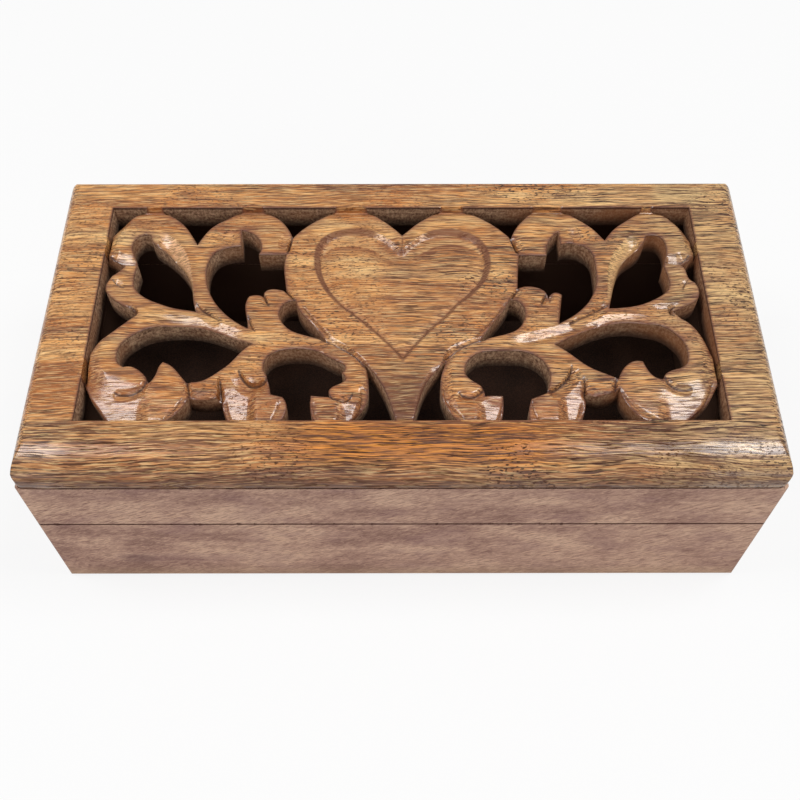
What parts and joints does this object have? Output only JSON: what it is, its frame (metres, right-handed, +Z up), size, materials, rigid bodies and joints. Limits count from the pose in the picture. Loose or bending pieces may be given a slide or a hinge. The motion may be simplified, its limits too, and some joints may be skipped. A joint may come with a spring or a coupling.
{
  "type": "keepsake box",
  "caption": "Rectangular wooden keepsake box with a hinged lid whose top board is carved and pierced as a heart between leafy scrolls.",
  "frame": {"origin": "middle of the underside", "axes": "+X along the length to the right, +Y from the front to the hinged back, +Z up"},
  "size_m": [0.25, 0.125, 0.08],
  "materials": {
    "varnished_carved_wood": "satin varnish over streaked grain along the length",
    "pale_wood": "matt, fine-pored",
    "felt": "dark brown felt",
    "brass": "plain, slightly dull",
    "steel": "bright wire"
  },
  "bodies": {
    "base": {"base_front_wall": "pale_wood", "base_back_wall": "pale_wood", "base_left_wall": "pale_wood", "base_right_wall": "pale_wood", "base_floor_panel": "pale_wood", "base_floor_felt": "felt", "base_floor_pins": "steel", "hinge_left_base_leaf": "brass", "hinge_left_pin": "brass", "hinge_right_base_leaf": "brass", "hinge_right_pin": "brass", "hinge_base_leaf_screws": "brass"},
    "lid": {"lid_carved_board": "varnished_carved_wood", "lid_front_rail": "pale_wood", "lid_back_rail": "pale_wood", "lid_left_rail": "pale_wood", "lid_right_rail": "pale_wood", "hinge_left_lid_leaf": "brass", "hinge_right_lid_leaf": "brass", "hinge_lid_leaf_screws": "brass"}
  },
  "joints": [
    {"name": "lid_hinge", "type": "hinge", "parent": "base", "child": "lid", "pos_m": [0, 0.0595, 0.04415], "axis": [-1, 0, 0], "range_deg": [0, 100]}
  ]
}
